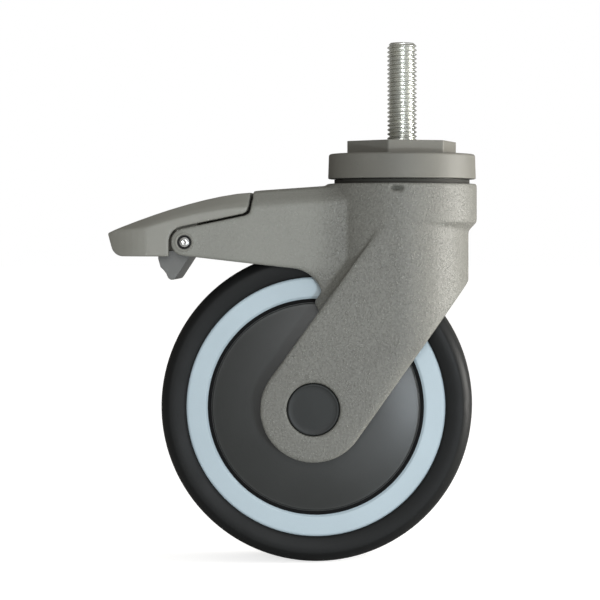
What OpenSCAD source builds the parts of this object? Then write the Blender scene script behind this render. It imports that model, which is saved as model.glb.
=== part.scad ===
// Braked swivel castor with a threaded stem.
// The origin is the foot of the stem, on the flat top of the cap's hexagon.
// +Z runs up the stem and +X points away from the pedal.

/* [Threaded stem] */
// Outside diameter of the mounting thread
stem_d = 12; // [8:0.5:13]
// Length of the stem above its seat
stem_length = 40; // [15:1:80]
// Bevel at the tip of the stem
stem_bevel = 1.2; // [0.2:0.1:2]
// Diameter of the kingpin in the swivel bearing
kingpin_d = 17; // [14:0.5:18]
// Thread diameter at the kingpin's lower end
kingpin_thread_d = 12; // [8:0.5:13]
// Diameter of the plate moulded into the cap
anchor_d = 34; // [28:1:40]
// Thickness of that plate
anchor_t = 3.2; // [2:0.1:3.6]
// Length of kingpin thread below its nut
kingpin_tail = 1.2; // [0.5:0.1:2]

/* [Top cap] */
// Width across the flats of the hexagon
hex_flats = 40; // [34:0.5:46]
// Height of the hexagon
hex_h = 5.2; // [3:0.1:8]
// Turn of the hexagon about the stem
hex_turn = 17.8; // [0:0.1:60]
// Diameter of the round skirt
cap_d = 60; // [58:0.5:64]
// Height of the round skirt
cap_h = 10.1; // [8:0.1:14]
// Radius along the skirt's upper edge
cap_round = 1; // [0.5:0.1:3]

/* [Swivel bearing] */
// Outside diameter of the swivel bearing
swivel_od = 40; // [38:0.5:41]
// Width of the swivel bearing
swivel_w = 12; // [10:0.5:13]
// Diameter of its balls
swivel_ball_d = 6.7; // [5:0.1:7]
// Number of its balls
swivel_balls_n = 9; // [6:1:9]
// Height of the dust gap under the cap
seal_gap = 1.9; // [1.2:0.1:3]
// Outside diameter of the dust seal
seal_d = 54.9; // [52:0.1:57]

/* [Swivel lock] */
// Diameter of the toothed ring
lock_d = 36; // [34:0.5:37]
// Thickness of the toothed ring
lock_t = 4; // [3:0.1:5]
// Number of slots, a multiple of four
lock_slots = 16; // [8:4:20]
// Width of a slot
slot_w = 3.4; // [3:0.1:4]
// Depth of a slot
slot_depth = 2.3; // [1.8:0.1:2.6]
// Thickness of the washer under the ring
washer_t = 1.5; // [1:0.1:2]
// Height of the kingpin nut
nut_h = 6.2; // [4:0.1:6.5]
// Width of the kingpin nut across its flats
nut_flats = 18; // [17:0.5:19]

/* [Fork] */
// Distance from the swivel axis back to the axle
trail = 34; // [30:0.5:38]
// Distance from the stem's seat down to the axle
axle_drop = 106.5; // [106:0.5:112]
// Step out from the cap to the fork's round head
head_step = 0.4; // [0.2:0.1:1]
// Height of the head above its bevel
head_h = 15.5; // [13:0.5:18]
// Height of the bevel under the head
head_bevel_h = 4; // [2:0.5:5]
// Half length of the body under the head
body_reach = 27; // [26:0.5:29]
// Height of the upright back of the body
body_h = 20; // [14:1:26]
// Radius of the rounded end of each leg
leg_r = 21; // [19:0.5:23]
// Half width over the outer faces of the legs
leg_out = 28.6; // [27:0.1:30]
// Half width between the inner faces of the legs
leg_in = 18.5; // [18:0.1:19.5]
// Thickness of the deck under the swivel bearing
deck_t = 5.2; // [4:0.1:6]
// Thickness of the fork's back wall
back_wall = 4; // [3:0.1:5]
// Width of the sloping web beside each leg
web_w = 4; // [2:0.5:6]
// Room between the tyre and the fork's underside
wheel_room = 3.5; // [2:0.1:5]

/* [Brake arm] */
// Half width of the arm
arm_half = 22; // [21:0.5:23]
// Height of the arm's top at its front end
arm_front_z = -20.2; // [-21:0.1:-19]
// Rise of the arm's top back to the head
arm_rise = 2; // [0:0.1:2.5]
// Height of the bevel along the arm's top
bevel_h = 6.6; // [4:0.1:8]
// Width of that bevel
bevel_w = 7.5; // [5:0.1:9]
// Thickness of the arm's roof
roof_t = 3.2; // [2.5:0.1:4]
// Radius under the arm where it meets the leg
arm_round = 13.5; // [10:0.5:16]
// Height of the arm's lower edge next to that radius
arm_low_z = -51; // [-52:0.1:-50]
// Radius of the ears at the front of the arm
ear_r = 5.5; // [5:0.1:6]
// Diameter of the lip around each pin hole
ear_lip_d = 7; // [6.6:0.1:8]
// Height of that lip
ear_lip_h = 0.3; // [0.1:0.1:0.6]

/* [Pedal] */
// Place of the pedal pin along the arm
pin_x = -85.6; // [-88:0.1:-84]
// Height of the pedal pin
pin_z = -40.7; // [-42:0.1:-40]
// Diameter of the pedal pin
pin_d = 5; // [4:0.1:5.4]
// Place of the pedal's rear edge
pedal_rear_x = -59; // [-62:0.1:-57]
// Length of the pedal
pedal_length = 58.6; // [54:0.2:64]
// Fall of the pedal's top from its rear to its nose
pedal_fall = 16.6; // [14:0.2:18]
// Height of the pedal's lower edge
pedal_low_z = -46.4; // [-47:0.1:-46]
// Wall of the pedal
pedal_wall = 3; // [2:0.1:3.3]
// Share of the half width lost at the nose
nose_taper = 0.42; // [0.2:0.01:0.6]
// Slope of the seam between pedal and arm
seam_slope = 11.8; // [10:0.1:13]
// Width of the seam between pedal and arm
seam_gap = 0.8; // [0.5:0.1:1.2]
// Distance from the pin forward to the rib that works the lever
rib_lead = 11.4; // [11:0.1:12]
// Thickness of that rib
rib_t = 2.4; // [2:0.1:3]
// Thickness of the pedal's lugs
lug_t = 3.4; // [2.8:0.1:3.6]

/* [Brake lever] */
// Place of the lever's pivot along the arm
pivot_x = -40; // [-42:0.5:-39]
// Height of the lever's pivot
pivot_z = -33; // [-34:0.5:-32]
// Diameter of the pivot pin
pivot_d = 6; // [5:0.5:7]
// Half width of the lever
lever_half = 12; // [10:0.5:13]
// Thickness of the lever under the pedal pin
lever_t = 2.1; // [1.6:0.1:2.4]
// Reach of the lever's lock tooth to the swivel axis
tooth_x = -13; // [-14:0.5:-12.5]
// Width of the lock tooth
tooth_w = 2.2; // [1.6:0.1:2.4]
// Room between the pedal pin and the lever under it
lever_room = 1.1; // [0.8:0.1:1.4]
// Depth of the lever's tab below the pedal pin
tab_depth = 15.2; // [13:0.1:16]
// Radius of the tab's tip
tab_round = 2; // [1.5:0.1:2.2]
// Distance from the pivot forward to the shoe
shoe_start = 6; // [5.5:0.5:7]
// Length of the shoe
shoe_length = 16; // [13:1:17]
// Thickness of the shoe
shoe_t = 5.4; // [4.4:0.1:5.8]
// Diameter of the shoe's rivets
rivet_d = 3; // [2.4:0.1:3.4]
// Travel of the lever in degrees
lever_travel = 4; // [3:0.5:4]
// Room between the tyre and the shoe with the brake on
brake_clear = 0.3; // [0.2:0.1:1]
// Diameter of the return spring
spring_d = 6.8; // [5:0.2:7]
// Distance from the pivot back to that spring
spring_back = 10.2; // [10:0.1:11]
// Number of its turns
spring_turns = 6; // [4:1:7]
// Diameter of its wire
spring_wire = 1; // [0.6:0.1:1.2]

/* [Wheel] */
// Diameter of the wheel
wheel_d = 125; // [120:1:126]
// Width of the tyre
tyre_w = 32; // [28:1:33]
// Thickness of the tyre
tread_t = 10.7; // [8:0.1:13]
// Width of the rim
rim_w = 29.6; // [27:0.2:30]
// Inner diameter of the rim's pale ring
ring_in_d = 86.6; // [82:0.2:90]
// Diameter of the thread guards
guard_d = 83.4; // [78:0.2:85]
// Thickness of the thread guards
guard_t = 1.8; // [1.2:0.1:2.4]
// Width of the tyre's shoulder
shoulder = 3.1; // [2:0.1:5]
// Thickness of the wheel's web
web_t = 7; // [4:0.5:12]
// Number of ribs on each side of the web
ribs_n = 8; // [4:1:12]

/* [Axle] */
// Diameter of the sleeve that the wheel bearings sit on
sleeve_d = 12; // [11:0.5:13]
// Thread diameter of the axle bolt
axle_d = 10; // [8:0.5:10]
// Width of the bolt head and nut across their flats
axle_flats = 16; // [14:0.5:17]
// Height of the bolt head and the nut
axle_head_h = 5; // [4:0.1:5.5]
// Outside diameter of the wheel bearings
bearing_od = 28; // [26:0.5:30]
// Width of a wheel bearing
bearing_w = 8; // [7:0.5:9]
// Diameter of their balls
bearing_ball_d = 4.8; // [4:0.1:5]
// Number of balls in each
bearing_balls_n = 9; // [6:1:9]
// Diameter of the hub caps
hub_cap_d = 20.5; // [19.6:0.1:22]
// Thickness of the hub caps
hub_cap_t = 1.6; // [1:0.1:2]

/* [Clearances] */
// Room round a pin that turns in its hole
run_fit = 0.06; // [0.02:0.01:0.1]
// Thickness of the ball cages
cage_t = 1.4; // [1:0.1:1.6]
// Height of a cage's rim past the balls
cage_rim = 0.6; // [0.4:0.1:0.8]
// Room round a ball in its races
ball_fit = 0.05; // [0.03:0.01:0.1]
// Room between faces that pass each other
pass_gap = 0.35; // [0.3:0.05:0.6]
// Room round an inserted cap
cap_fit = 0.25; // [0.15:0.05:0.4]

/* [Hidden] */
$fn = 96;
// Facets on the round parts of a blended shape
blend_fn = 64;
// Overshoot of a cut past the face that it opens
over = 1;
// Length of a cut that has to run clear of the whole part
far = 60;
// Half width of a side view that has to reach past the whole fork
wide = 40;

// Heights down the swivel axis
cap_top = -hex_h;
cap_bottom = cap_top - cap_h;
head_top = cap_bottom - seal_gap;
swivel_top = cap_bottom;
swivel_bottom = swivel_top - swivel_w;
deck_bottom = swivel_bottom - deck_t;
lock_top = deck_bottom - 2 * pass_gap;
lock_bottom = lock_top - lock_t;
nut_top = lock_bottom - washer_t;
nut_bottom = nut_top - nut_h;
kingpin_end = nut_bottom - kingpin_tail;
collar_lap = 2.2;
collar_top = cap_bottom + collar_lap;
recess_top = collar_top + 2 * pass_gap;
anchor_top = recess_top + anchor_t;
head_bottom = head_top - head_h;
body_top = head_bottom - head_bevel_h;
body_bottom = body_top - body_h;

// Radii about the swivel axis
head_r = cap_d / 2 + head_step;
body_side = head_r - 0.1;
bevel_foot_r = body_reach - 0.4;
collar_wall = 4;
collar_r = swivel_od / 2 + collar_wall;
recess_r = collar_r + 2 * pass_gap;
kingpin_r = kingpin_d / 2;
ring_wall = 3.2;
kingpin_collar_r = kingpin_r + ring_wall;
foot_wall = 1.5;
stem_foot_r = stem_d / 2 + foot_wall;
cap_draft = 0.3;

// The axle and what sits round it
bearing_sink = 1.2;
guard_sink = 0.5;
spacer_wall = 2.4;
bolt_room = 0.6;
axle_z = -axle_drop;
wheel_r = wheel_d / 2;
rim_r = wheel_r - tread_t;
bearing_out = rim_w / 2 - bearing_sink;
bearing_in = bearing_out - bearing_w;
guard_in = rim_w / 2 - guard_sink;
spacer_r = sleeve_d / 2 + spacer_wall;
pocket_r = hub_cap_d / 2 + cap_fit;
pocket_floor = leg_out - axle_head_h - hub_cap_t - bolt_room;

// The slanting line along the upper edge of the leg
leg_lean = 53.9;
leg_dir = [cos(leg_lean), sin(leg_lean)];
leg_normal = [-sin(leg_lean), cos(leg_lean)];
axle_at = [-trail, axle_z];
function leg_edge(t, off = 0) = axle_at + t * leg_dir + (leg_r + off) * leg_normal;
function leg_edge_at(z, off = 0) = leg_edge((z - axle_z - (leg_r + off) * leg_normal[1]) / leg_dir[1], off);

// The line along its lower edge, from the foot of the upright back
back_off = [body_reach, body_bottom] - axle_at;
back_lean = atan2(back_off[1], back_off[0]) + asin(leg_r / norm(back_off));
function back_edge_at(z) = [body_reach + (z - body_bottom) / tan(back_lean), z];

// Points along an arc in a side view
function arc(c, r, a0, a1, n = 12) =
    [for (i = [0:n]) let (a = a0 + (a1 - a0) * i / n) c + r * [cos(a), sin(a)]];

// Places of the two pins in the side view; the seam runs just above the ears
pin_at = [pin_x, pin_z];
pivot_at = [pivot_x, pivot_z];
function seam_z(x, r) = pin_z + r / cos(seam_slope) + (x - pin_x) * tan(seam_slope);

// Turns a side view outline, drawn in X and Z, into a solid of the given half width
module slab(half) {
    rotate([90, 0, 0]) linear_extrude(2 * half, center = true) children();
}

// Puts a child drawn about the Z axis on the axle, with its top towards the right side
module on_axle() {
    translate([-trail, 0, axle_z]) rotate([90, 0, 0]) children();
}

// The same on the left side
module on_axle_left() {
    mirror([0, 1, 0]) on_axle() children();
}

// A pin across the arm at a place in the side view
module cross_pin(at, r, half) {
    translate([at[0], 0, at[1]]) rotate([90, 0, 0]) cylinder(r = r, h = 2 * half, center = true);
}

// Inner ring of a ball bearing from z = 0 up
module inner_ring(bore_r, ball_r, pitch_r, w, wall) {
    difference() {
        cylinder(r = bore_r + wall, h = w);
        translate([0, 0, -over]) cylinder(r = bore_r, h = w + 2 * over);
        translate([0, 0, w / 2]) rotate_extrude() translate([pitch_r, 0]) circle(r = ball_r + ball_fit);
    }
}

// Outer ring of a ball bearing from z = 0 up
module outer_ring(out_r, ball_r, pitch_r, w, wall) {
    difference() {
        cylinder(r = out_r, h = w);
        translate([0, 0, -over]) cylinder(r = out_r - wall, h = w + 2 * over);
        translate([0, 0, w / 2]) rotate_extrude() translate([pitch_r, 0]) circle(r = ball_r + ball_fit);
    }
}

// A set of balls round the pitch circle
module balls(ball_r, pitch_r, w, n) {
    for (i = [0:n - 1])
        rotate(i * 360 / n) translate([pitch_r, 0, w / 2]) sphere(r = ball_r, $fn = 48);
}

// A cage ring with a pocket for each ball
module cage(ball_r, pitch_r, w, n) {
    half_h = ball_r + 2 * ball_fit + cage_rim;
    difference() {
        translate([0, 0, w / 2 - half_h]) cylinder(r = pitch_r + cage_t / 2, h = 2 * half_h);
        translate([0, 0, -over]) cylinder(r = pitch_r - cage_t / 2, h = w + 2 * over);
        for (i = [0:n - 1])
            rotate(i * 360 / n) translate([pitch_r - ball_r, 0, w / 2]) rotate([0, 90, 0])
                cylinder(r = ball_r + 2 * ball_fit, h = 2 * ball_r);
    }
}

// Mounting thread, moulded in plate and kingpin as one turned piece
module threaded_stem() {
    r = stem_d / 2;
    rt = kingpin_thread_d / 2;
    color("silver") rotate_extrude() polygon([
        [0, stem_length], [r - stem_bevel, stem_length], [r, stem_length - stem_bevel], [r, 0],
        [stem_foot_r, 0], [stem_foot_r, anchor_top], [anchor_d / 2, anchor_top], [anchor_d / 2, recess_top],
        [kingpin_collar_r, recess_top], [kingpin_collar_r, swivel_top], [kingpin_r, swivel_top],
        [kingpin_r, swivel_bottom], [rt, swivel_bottom], [rt, kingpin_end + stem_bevel],
        [rt - stem_bevel, kingpin_end], [0, kingpin_end]
    ]);
}

// Plastic cap with its hexagon, moulded round the plate of the stem
module top_cap() {
    skirt_r = cap_d / 2;
    color([0.40, 0.40, 0.36]) difference() {
        union() {
            translate([0, 0, cap_top - over]) rotate(hex_turn)
                cylinder(r = hex_flats / sqrt(3), h = hex_h + over, $fn = 6);
            rotate_extrude() polygon(concat(
                [[0, cap_bottom], [skirt_r, cap_bottom]],
                arc([skirt_r - cap_draft - cap_round, cap_top - cap_round], cap_round, 0, 90, 8),
                [[0, cap_top]]
            ));
        }
        translate([0, 0, anchor_top - over]) cylinder(r = stem_foot_r, h = far);
        translate([0, 0, recess_top - over]) cylinder(r = anchor_d / 2, h = anchor_t + over);
        translate([0, 0, cap_bottom - over]) cylinder(r = recess_r, h = recess_top - cap_bottom + over);
    }
}

swivel_ball_r = swivel_ball_d / 2;
swivel_pitch_r = (kingpin_r + swivel_od / 2) / 2;
race_share = 0.27;
swivel_wall = (swivel_od / 2 - kingpin_r) * race_share;

module at_swivel() {
    translate([0, 0, swivel_bottom]) children();
}

module swivel_inner_ring() {
    color("gainsboro") at_swivel()
        inner_ring(kingpin_r, swivel_ball_r, swivel_pitch_r, swivel_w, swivel_wall);
}

module swivel_outer_ring() {
    color("gainsboro") at_swivel()
        outer_ring(swivel_od / 2, swivel_ball_r, swivel_pitch_r, swivel_w, swivel_wall);
}

module swivel_balls() {
    color("white") at_swivel() balls(swivel_ball_r, swivel_pitch_r, swivel_w, swivel_balls_n);
}

module swivel_cage() {
    color("goldenrod") at_swivel() cage(swivel_ball_r, swivel_pitch_r, swivel_w, swivel_balls_n);
}

// Ring fixed to the kingpin, with slots that the lever's tooth drops into
module lock_ring() {
    color("dimgray") difference() {
        union() {
            translate([0, 0, lock_bottom]) cylinder(r = lock_d / 2, h = lock_t);
            translate([0, 0, lock_bottom]) cylinder(r = kingpin_collar_r, h = swivel_bottom - lock_bottom);
        }
        translate([0, 0, lock_bottom - over]) cylinder(r = kingpin_thread_d / 2, h = far);
        for (i = [0:lock_slots - 1])
            rotate(i * 360 / lock_slots)
                translate([kingpin_collar_r + pass_gap, -slot_w / 2, lock_bottom - over])
                cube([lock_d, slot_w, slot_depth + over]);
    }
}

module kingpin_washer() {
    color("silver") translate([0, 0, nut_top]) difference() {
        cylinder(r = kingpin_collar_r, h = washer_t);
        translate([0, 0, -over]) cylinder(r = kingpin_thread_d / 2, h = washer_t + 2 * over);
    }
}

module kingpin_nut() {
    color("silver") translate([0, 0, nut_bottom]) difference() {
        cylinder(r = nut_flats / sqrt(3), h = nut_h, $fn = 6);
        translate([0, 0, -over]) cylinder(r = kingpin_thread_d / 2, h = nut_h + 2 * over);
    }
}

// Rubber ring in the gap between the cap and the fork's head
module dust_seal() {
    color([0.08, 0.08, 0.08]) translate([0, 0, head_top]) difference() {
        cylinder(r = seal_d / 2, h = seal_gap - pass_gap);
        translate([0, 0, -over]) cylinder(r = collar_r, h = seal_gap + 2 * over);
    }
}

// Side view of the arm, from the ears back to the upper edge of the leg
arm_top_slope = atan2(arm_rise, -pedal_rear_x - head_r);
arm_end_x = pedal_rear_x + seam_gap;
arc_c = [leg_edge_at(arm_low_z - arm_round)[0] - arm_round - 1.2, arm_low_z - arm_round];
// How far the arm runs in under the edge of the leg, and down past its own round
tuck = 3;
arm_root_z = arm_low_z - arm_round - 2 * tuck;
module arm_outline() {
    polygon(concat(
        [[arm_end_x, 0], [0, 0], leg_edge_at(head_bottom, -tuck), leg_edge_at(arm_root_z, -tuck)],
        arc(arc_c, arm_round, 0, 90),
        arc(pin_at, ear_r, 270, 90 + seam_slope, 14),
        [
            [arm_end_x - 3.2, seam_z(arm_end_x - 3.2, ear_r)],
            [arm_end_x - 1.6, seam_z(arm_end_x - 2.2, ear_r) + 0.7],
            [arm_end_x - 1.2, seam_z(arm_end_x, ear_r) + 2]
        ]
    ));
}

// Bevelled section of the arm, with its top at z = 0
module arm_section(half) {
    polygon([
        [-half, -far], [half, -far], [half, -bevel_h], [half - 1.4, -bevel_h * 0.72],
        [half - bevel_w + 1.6, -bevel_h * 0.14], [half - bevel_w - 1, -0.15], [0, 0.25],
        [-half + bevel_w + 1, -0.15], [-half + bevel_w - 1.6, -bevel_h * 0.14],
        [-half + 1.4, -bevel_h * 0.72], [-half, -bevel_h]
    ]);
}

// The section run back from the front end of the arm along its sloping top
module arm_bar(half) {
    translate([pedal_rear_x, 0, arm_front_z]) rotate([0, -arm_top_slope, 0])
        translate([-far, 0, 0]) rotate([90, 0, 90]) linear_extrude(2 * far) arm_section(half);
}

// Round head with its bevel and the collar round the bearing
module fork_head() {
    translate([0, 0, head_bottom]) cylinder(r = head_r, h = head_h);
    translate([0, 0, body_top]) cylinder(r1 = bevel_foot_r, r2 = head_r, h = head_bevel_h);
    translate([0, 0, head_top - over]) cylinder(r = collar_r, h = collar_top - head_top + over);
}

// Both legs as one block, upright at the back where the slanting line cuts them, down to the round ends
upright_low = (body_bottom + axle_z) / 2;
module fork_legs() {
    hull() {
        intersection() {
            translate([0, 0, axle_z]) scale([body_reach / body_side, 1, 1])
                cylinder(r = body_side, h = head_bottom + over - axle_z, $fn = blend_fn);
            slab(wide) polygon([
                leg_edge_at(head_bottom + far), leg_edge_at(upright_low),
                back_edge_at(upright_low), back_edge_at(head_bottom + far)
            ]);
        }
        on_axle() cylinder(r = leg_r, h = 2 * leg_out, center = true, $fn = blend_fn);
    }
}

// Left side of the head, carried down to the arm's lower edge
module fork_shoulder() {
    intersection() {
        translate([0, 0, arm_root_z]) cylinder(r = head_r, h = head_bottom - arm_root_z + over);
        slab(wide) arm_outline();
    }
}

module fork_arm() {
    intersection() {
        arm_bar(arm_half);
        slab(wide - over) arm_outline();
    }
}

// Sloping web between the arm's side and the outer face of the leg
module fork_web() {
    low = arm_low_z - arm_round - 4;
    skin = 0.9;
    root = -4;
    hull() {
        slab(leg_out - skin) polygon([
            leg_edge_at(head_bottom, -0.6), leg_edge_at(low, -0.6),
            leg_edge_at(low, root), leg_edge_at(head_bottom, root)
        ]);
        slab(arm_half - skin) polygon([
            leg_edge_at(head_bottom, web_w), leg_edge_at(low - root, web_w),
            leg_edge_at(low, root), leg_edge_at(head_bottom, root)
        ]);
    }
}

// Head, arm and both legs before anything is cut
module fork_blank() {
    fork_head();
    fork_legs();
    fork_shoulder();
    fork_arm();
    fork_web();
    for (side = [-1, 1])
        translate([pin_x, side * (arm_half + ear_lip_h - 1), pin_z]) rotate([90, 0, 0])
            cylinder(r = ear_lip_d / 2, h = 2, center = true);
}

// Space inside the fork for the wheel, the lever and the swivel lock
head_wall_x = -collar_r - 2.2;
module fork_hollow() {
    intersection() {
        translate([0, 0, axle_z - far]) cylinder(r = body_reach - back_wall, h = deck_bottom - axle_z + far);
        slab(leg_in) translate([-far, axle_z - far]) square([2 * far, 3 * far]);
    }
    on_axle() cylinder(r = wheel_r + wheel_room, h = 2 * leg_in, center = true);
    slab(leg_in) polygon([
        [-2 * far, -2 * far], [head_wall_x, -2 * far], [head_wall_x, arm_front_z - roof_t + arm_rise * 0.4],
        [pedal_rear_x - over, arm_front_z - roof_t], [pedal_rear_x - over, 0], [-2 * far, 0]
    ]);
    slab(leg_in) translate([-far, deck_bottom - far]) square([far, far]);
}

// Lip under the swivel bearing, and the sinking round each end of the pedal pin
seat_lip = 4.5;
ear_sink = 1.2;
// Small dent that the mould's gate leaves under the head's upper edge
gate_x = [-2.6, 0.6];
gate_drop = 2.2;
gate_r = 0.95;
gate_depth = 1.6;

// One moulding: round head, two legs and the hollow arm with its ears
module fork() {
    color([0.46, 0.46, 0.43]) difference() {
        fork_blank();
        fork_hollow();
        at_swivel() cylinder(r = swivel_od / 2, h = far);
        translate([0, 0, deck_bottom - over]) cylinder(r = swivel_od / 2 - seat_lip, h = deck_t + 2 * over);
        cross_pin(pin_at, pin_d / 2, arm_half + 2);
        cross_pin(pivot_at, pivot_d / 2, leg_in + 2);
        cross_pin(axle_at, axle_d / 2, leg_out + over);
        for (side = [-1, 1])
            translate([pin_x, side * (arm_half + ear_lip_h), pin_z]) rotate([90, 0, 0])
                cylinder(r = pin_d / 2 + cap_fit, h = 2 * ear_sink, center = true);
        for (side = [-1, 1])
            translate([-trail, side * (pocket_floor + far / 2), axle_z]) rotate([90, 0, 0])
                cylinder(r = pocket_r, h = far, center = true);
        hull() for (x = gate_x)
            translate([x, -head_r - over, head_top - gate_drop]) rotate([-90, 0, 0])
                cylinder(r = gate_r, h = over + gate_depth, $fn = 24);
    }
}

// Rivet through the ears, with a domed end on each side
module pedal_pin() {
    r = pin_d / 2;
    dome_r = 4.15;
    crown = arm_half + 0.35;
    edge = crown - 1.15;
    color("gainsboro") translate([pin_x, 0, pin_z]) rotate([90, 0, 0]) rotate_extrude() polygon(concat(
        [[0, -crown]], arc([0, dome_r - crown], dome_r, -73, -59, 3), [[r, -edge], [r, edge]],
        arc([0, crown - dome_r], dome_r, 59, 73, 3), [[0, crown]]
    ));
}

module lever_pin() {
    color("silver") cross_pin(pivot_at, pivot_d / 2, leg_in + 2);
}

// Coil between the arm's roof and the back end of the lever
spring_x = pivot_x + spring_back;
spring_top = arm_front_z - roof_t + 0.1;
spring_foot = pivot_z - 3.2;
module return_spring() {
    r = (spring_d - spring_wire) / 2;
    top = spring_top - spring_wire / 2;
    low = spring_foot + spring_wire / 2 + 0.1;
    steps = spring_turns * 14;
    sides = 8;
    points = [for (i = [0:steps]) for (k = [0:sides - 1])
        let (a = 360 * spring_turns * i / steps, b = 360 * k / sides, q = r + spring_wire / 2 * cos(b))
            [q * cos(a), q * sin(a), low + (top - low) * i / steps + spring_wire / 2 * sin(b)]];
    walls = [for (i = [0:steps - 1]) for (k = [0:sides - 1])
        let (next = (k + 1) % sides)
            [i * sides + k, (i + 1) * sides + k, (i + 1) * sides + next, i * sides + next]];
    color("silver") translate([spring_x, 0, 0]) polyhedron(points, concat(
        walls,
        [[for (k = [0:sides - 1]) k], [for (k = [0:sides - 1]) (steps + 1) * sides - 1 - k]]
    ));
}

// Side view of the pedal, whose lower edge follows the ears and the seam
module pedal_outline() {
    nose_x = pedal_rear_x - pedal_length;
    gap_r = ear_r + seam_gap;
    polygon(concat(
        [
            [pedal_rear_x, 0], [pedal_rear_x - 1.2, seam_z(pedal_rear_x, gap_r) + 2.4],
            [pedal_rear_x - 1.8, seam_z(pedal_rear_x - 1.8, gap_r) + 0.9],
            [pedal_rear_x - 3.2, seam_z(pedal_rear_x - 3.2, gap_r)]
        ],
        arc(pin_at, gap_r, 90 + seam_slope, 180, 10),
        [[pin_x - gap_r, pedal_low_z], [nose_x + 6.5, pedal_low_z]],
        arc([nose_x + 6.8, pedal_low_z + 5.2], 5.2, 265, 200, 5),
        [[nose_x, pedal_low_z + 9.4], [nose_x, 0]]
    ));
}

// Height of the pedal's top from its rear, s = 0, to its nose, s = 1
function pedal_top(s) = arm_front_z - pedal_fall * pow(s, 1.5);
function pedal_bevel(s) = bevel_h * (1 - 0.4 * s);

// Side view under the pedal's top, sunk by a share of the bevel and by an inset
module pedal_side(share, inset) {
    steps = 9;
    polygon(concat(
        [for (i = [-1:steps])
            let (s = i / steps)
            [pedal_rear_x - pedal_length * s, pedal_top(max(0, s)) - share * pedal_bevel(s) - inset]],
        [[pedal_rear_x - pedal_length, -far], [pedal_rear_x + pedal_length / steps, -far]]
    ));
}

// Bevelled block that the pedal's outside, or with an inset its inside, is cut from
module pedal_block(inset) {
    hull() {
        slab(arm_half - inset) pedal_side(1, inset);
        slab(arm_half - 1.6 - inset) pedal_side(0.7, inset);
        slab(arm_half - bevel_w + 1.2 - inset) pedal_side(0.1, inset);
    }
}

// Plan of the pedal, narrowing to its rounded nose over the last stretch
nose_run = 22;
module pedal_plan(inset) {
    nose_x = pedal_rear_x - pedal_length;
    half = arm_half + 0.3 - inset;
    waist = arm_half * (1 - nose_taper) - inset;
    steps = 8;
    side = [for (i = [0:steps]) let (s = i / steps)
        [nose_x + inset + nose_run * (1 - s), half - (half - waist) * pow(s, 2.4)]];
    translate([0, 0, -2 * far]) linear_extrude(2 * far) polygon(concat(
        [[far, -half], [far, half]],
        side,
        [for (i = [steps:-1:0]) [side[i][0], -side[i][1]]]
    ));
}

// Foot pedal: a hollow cap with two lugs on the pin and a rib that works the lever
rib_x = pin_x - rib_lead;
lever_top_z = pin_z - pin_d / 2 - lever_room;
rib_low_z = lever_top_z + 0.5;
lug_out = leg_in - pass_gap;
rib_r = rib_t / 2;
lug_wall = 2.2;
module pedal() {
    color([0.44, 0.43, 0.39]) difference() {
        union() {
            difference() {
                intersection() {
                    pedal_block(0);
                    slab(wide) pedal_outline();
                    pedal_plan(0);
                }
                intersection() {
                    pedal_block(pedal_wall);
                    pedal_plan(pedal_wall);
                }
            }
            intersection() {
                pedal_block(1);
                union() {
                    for (side = [-1, 1])
                        translate([0, side * (lug_out - lug_t / 2), 0]) slab(lug_t / 2) hull() {
                            translate(pin_at) circle(r = pin_d / 2 + lug_wall);
                            translate([pin_x - 2, pin_z + 14]) square([7, 5]);
                        }
                    slab(lever_half - 3) union() {
                        translate([rib_x, rib_low_z + rib_r]) circle(r = rib_r);
                        translate([rib_x - rib_r, rib_low_z + rib_r]) square([rib_t, far / 2]);
                    }
                }
            }
        }
        cross_pin(pin_at, pin_d / 2 + run_fit, lug_out + 0.2);
    }
}

// Outline of the lever: tab under the pedal, strip under the pin, pivot and lock tooth
lever_low_z = lever_top_z - lever_t;
tooth_room = 0.6;
tooth_top = lock_bottom - tooth_room;
arm_low = lock_bottom - 4.6;
arm_top = lock_bottom - 2;
boss_r = pivot_d / 2 + 1.8;
spring_seat = spring_d / 2 + 0.2;
tip_at = [pin_x - 6.2, pin_z - tab_depth + tab_round];
shoe_x = [pivot_x - shoe_start - shoe_length, pivot_x - shoe_start];
strip_run = 6;
// Centre of the tyre as the lever sees it once it is down, and the curve that the shoe's face takes
axle_off = axle_at - pivot_at;
face_at = pivot_at + [
    axle_off[0] * cos(lever_travel) + axle_off[1] * sin(lever_travel),
    axle_off[1] * cos(lever_travel) - axle_off[0] * sin(lever_travel)
];
face_r = wheel_r + brake_clear;
function face_z(x) = face_at[1] + sqrt(face_r * face_r - (x - face_at[0]) * (x - face_at[0]));
belly = [for (x = [shoe_x[0] - 1, shoe_x[1] + 2]) [x, face_z(x) + shoe_t]];
module lever_outline() {
    polygon(concat(
        [
            [rib_x - 0.4, lever_top_z], [pin_x + strip_run, lever_top_z], [pin_x + 16, pin_z + 1.5],
            [pivot_x - 9, pivot_z + 1]
        ],
        arc(pivot_at, boss_r, 145, 20, 8),
        [
            [spring_x - spring_seat, spring_foot], [spring_x + spring_seat, spring_foot],
            [-lock_d / 2 - 0.8, arm_top], [tooth_x, arm_top], [tooth_x, arm_low], [-lock_d / 2, arm_low],
            [spring_x + 2, spring_foot - 5], belly[1], belly[0], [pin_x + strip_run - 2, lever_low_z],
            [pin_x + 0.9, lever_low_z], tip_at + [1.8, -0.7]
        ],
        arc(tip_at, tab_round, 300, 215, 5),
        [
            tip_at + [-2.4, 0.6], tip_at + [-3.7, 2.2], tip_at + [-4.6, 3], [rib_x - 0.4, lever_low_z - 1]
        ]
    ));
}

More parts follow.
